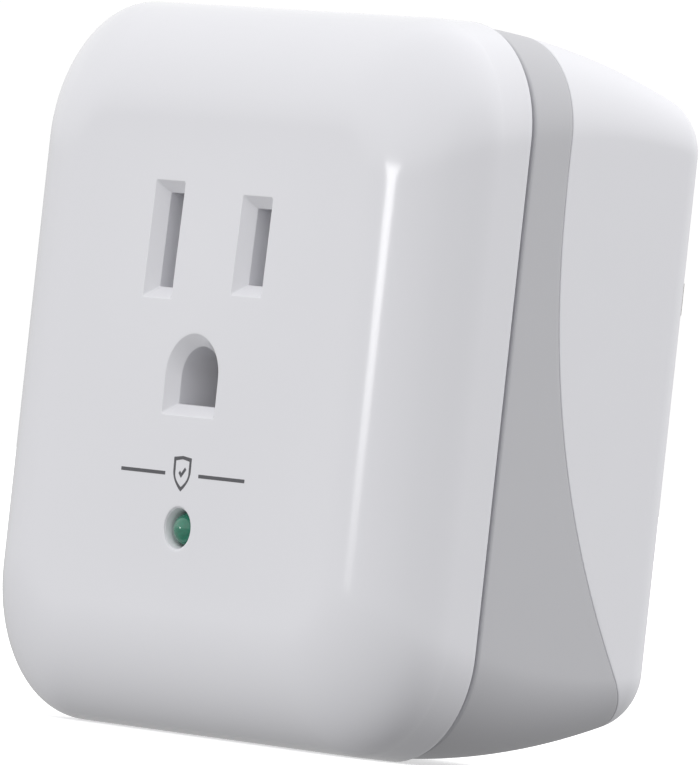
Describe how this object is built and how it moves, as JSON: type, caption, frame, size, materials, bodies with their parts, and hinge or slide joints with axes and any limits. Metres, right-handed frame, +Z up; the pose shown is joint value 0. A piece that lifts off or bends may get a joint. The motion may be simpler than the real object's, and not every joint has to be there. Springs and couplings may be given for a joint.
{
  "type": "surge protector plug",
  "caption": "Rounded plug-in surge protector with a grounded outlet and indicator lamp in front, a grey band, and three plug prongs on its flat back.",
  "frame": {"origin": "on the flat back that lies against the wall, half way between the two plug blades", "axes": "+X right as seen from the front, +Y into the wall along the prongs, +Z up with the ground pin below the blades"},
  "size_m": [0.0612, 0.0529, 0.065],
  "materials": {
    "cover_white": "high gloss moulded white",
    "band_grey": "satin mid grey",
    "housing_white": "satin white",
    "prong_nickel": "nickel-plated brass",
    "contact_brass": "bright rolled brass",
    "carrier_plastic": "dark glass-filled plastic",
    "carrier_lid_plastic": "dark glass-filled plastic",
    "clamp_plastic": "black phenolic",
    "sheet_fibre": "fibre insulating sheet",
    "board_laminate": "green lacquered glass laminate",
    "screw_steel": "zinc-plated steel",
    "shutter_plastic": "self-lubricating white plastic",
    "spring_steel": "spring wire",
    "varistor_lacquer": "blue epoxy lacquer",
    "fuse_metal": "bright metal case",
    "sleeve_rubber": "black shrink sleeve",
    "fuse_cap": "dark red moulded cap",
    "capacitor_box": "yellow film capacitor box",
    "resistor_body": "tan lacquer with colour bands",
    "diode_body": "black epoxy",
    "lead_tin": "tinned copper wire",
    "lamp_green": "clear dark green epoxy",
    "spacer_nylon": "natural nylon"
  },
  "bodies": {
    "housing": {"front_cover": "cover_white", "accent_band": "band_grey", "rear_housing": "housing_white", "hot_blade": "prong_nickel", "neutral_blade": "prong_nickel", "ground_pin": "prong_nickel", "blade_plate": "clamp_plastic", "insulation_sheet": "sheet_fibre", "circuit_board": "board_laminate", "board_screws": "screw_steel", "housing_screws": "screw_steel", "contact_carrier": "carrier_plastic", "contact_cover": "carrier_lid_plastic", "carrier_screws": "screw_steel", "hot_contact": "contact_brass", "neutral_contact": "contact_brass", "ground_contact": "contact_brass", "shutter_spring": "spring_steel", "line_neutral_varistor": "varistor_lacquer", "line_ground_varistor": "varistor_lacquer", "neutral_ground_varistor": "varistor_lacquer", "thermal_fuse": "fuse_metal", "fuse_sleeve": "sleeve_rubber", "circuit_fuse": "fuse_cap", "filter_capacitor": "capacitor_box", "dropper_resistors": "resistor_body", "rectifier_diode": "diode_body", "component_leads": "lead_tin", "indicator_led": "lamp_green", "led_legs": "lead_tin", "led_spacer": "spacer_nylon"},
    "shutter": {"safety_shutter": "shutter_plastic"}
  },
  "joints": [
    {"name": "shutter_slide", "type": "slide", "parent": "housing", "child": "shutter", "axis": [1, 0, 0], "range_m": [0, 0.0032], "stiffness_N_per_m": 100, "springref_m": -0.003, "deforming": ["shutter_spring"]}
  ]
}
